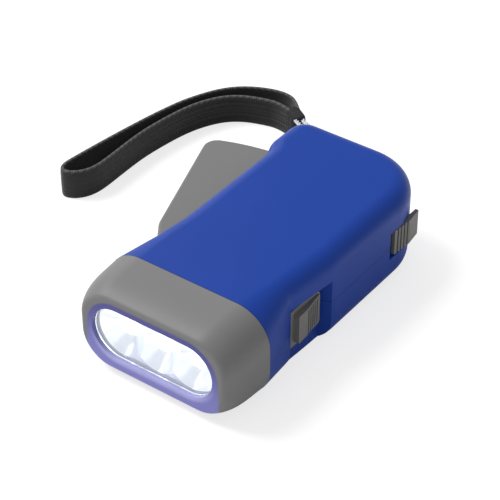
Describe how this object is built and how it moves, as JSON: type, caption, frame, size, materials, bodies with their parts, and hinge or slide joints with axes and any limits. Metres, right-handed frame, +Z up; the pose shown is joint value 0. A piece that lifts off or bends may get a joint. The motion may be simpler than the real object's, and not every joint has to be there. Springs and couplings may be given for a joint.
{
  "type": "squeeze dynamo flashlight",
  "caption": "Pocket dynamo torch: oval lamp head, side squeeze lever that spins a geared generator, switch and lever-lock sliders, wrist strap",
  "frame": {"origin": "on the flat underside, half-way along the torch and in the middle of its head", "axes": "+Z up out of the underside, +Y along the torch from the lamp to the tail, +X towards the side with the sliders"},
  "size_m": [0.1088, 0.1318, 0.029],
  "materials": {
    "housing_blue": "satin moulded",
    "bezel_grey": "satin painted",
    "clear_lens": "clear moulded",
    "reflector_chrome": "vacuum plated",
    "led_resin": "frosted resin",
    "circuit_board": "solder mask",
    "steel": "turned",
    "plated_iron": "nickel plated",
    "gear_nylon": "moulded",
    "copper_wire": "enamelled winding",
    "component_black": "moulded",
    "wire_insulation": "extruded",
    "strap_webbing": "woven",
    "strap_cord": "twisted",
    "strap_end": "moulded",
    "lever_grey": "satin moulded",
    "brass_pinion": "turned",
    "ferrite": "sintered",
    "slider_grey": "moulded, ribbed"
  },
  "bodies": {
    "housing": {"upper_shell": "housing_blue", "lower_shell": "housing_blue", "head_bezel": "bezel_grey", "lens": "clear_lens", "reflector": "reflector_chrome", "left_led": "led_resin", "middle_led": "led_resin", "right_led": "led_resin", "led_board": "circuit_board", "lever_pivot_pin": "steel", "return_spring": "steel", "first_axle": "steel", "second_axle": "steel", "lower_stator_cup": "plated_iron", "upper_stator_cup": "plated_iron", "coil_bobbin": "gear_nylon", "coil_winding": "copper_wire", "main_board": "circuit_board", "rectifier_diodes": "component_black", "smoothing_capacitor": "component_black", "cell_cup": "gear_nylon", "lower_storage_cell": "plated_iron", "upper_storage_cell": "plated_iron", "slide_switch_body": "plated_iron", "hookup_wires": "wire_insulation", "shell_screws": "steel", "wrist_strap": "strap_webbing", "strap_cord": "strap_cord", "strap_ferrule": "strap_end"},
    "lever": {"squeeze_lever": "lever_grey"},
    "first_gear_set": {"drive_pinion": "gear_nylon", "first_gear": "gear_nylon", "ratchet_wheel": "gear_nylon", "pawl_spring": "steel"},
    "second_gear_set": {"second_pinion": "gear_nylon", "second_gear": "gear_nylon"},
    "rotor": {"rotor_shaft": "steel", "rotor_pinion": "brass_pinion", "rotor_magnet": "ferrite", "flywheel": "brass_pinion"},
    "light_switch": {"light_switch_slider": "slider_grey", "switch_knob": "component_black"},
    "lever_lock": {"lever_lock_slider": "slider_grey", "latch_pin": "steel"}
  },
  "joints": [
    {"name": "lever_squeeze", "type": "hinge", "parent": "housing", "child": "lever", "pos_m": [-0.0155, -0.029, 0.0145], "axis": [0, 0, -1], "range_deg": [0, 19.2], "stiffness_Nm_per_rad": 0.13, "springref_deg": -57.3, "deforming": ["return_spring"]},
    {"name": "first_gear_turn", "type": "hinge", "parent": "housing", "child": "first_gear_set", "pos_m": [-0.00089, 0.00716, 0.01], "axis": [0, 0, -1], "range_deg": [-231.4, 1]},
    {"name": "second_gear_turn", "type": "hinge", "parent": "housing", "child": "second_gear_set", "pos_m": [0.0108, 0.00446, 0.01], "axis": [0, 0, -1], "range_deg": [-1, 692.2]},
    {"name": "rotor_turn", "type": "hinge", "parent": "housing", "child": "rotor", "pos_m": [0.01247, 0.01634, 0.012], "axis": [0, 0, -1], "range_deg": [-2074.6, 1]},
    {"name": "light_switch_slide", "type": "slide", "parent": "housing", "child": "light_switch", "axis": [0, 1, 0], "range_m": [0, 0.0018]},
    {"name": "lever_lock_slide", "type": "slide", "parent": "housing", "child": "lever_lock", "axis": [0, -1, 0], "range_m": [0, 0.0022]}
  ],
  "couplings": [
    {"joint": "first_gear_turn", "follows": "lever_squeeze", "ratio": -12},
    {"joint": "second_gear_turn", "follows": "lever_squeeze", "ratio": 36},
    {"joint": "rotor_turn", "follows": "lever_squeeze", "ratio": -108}
  ]
}
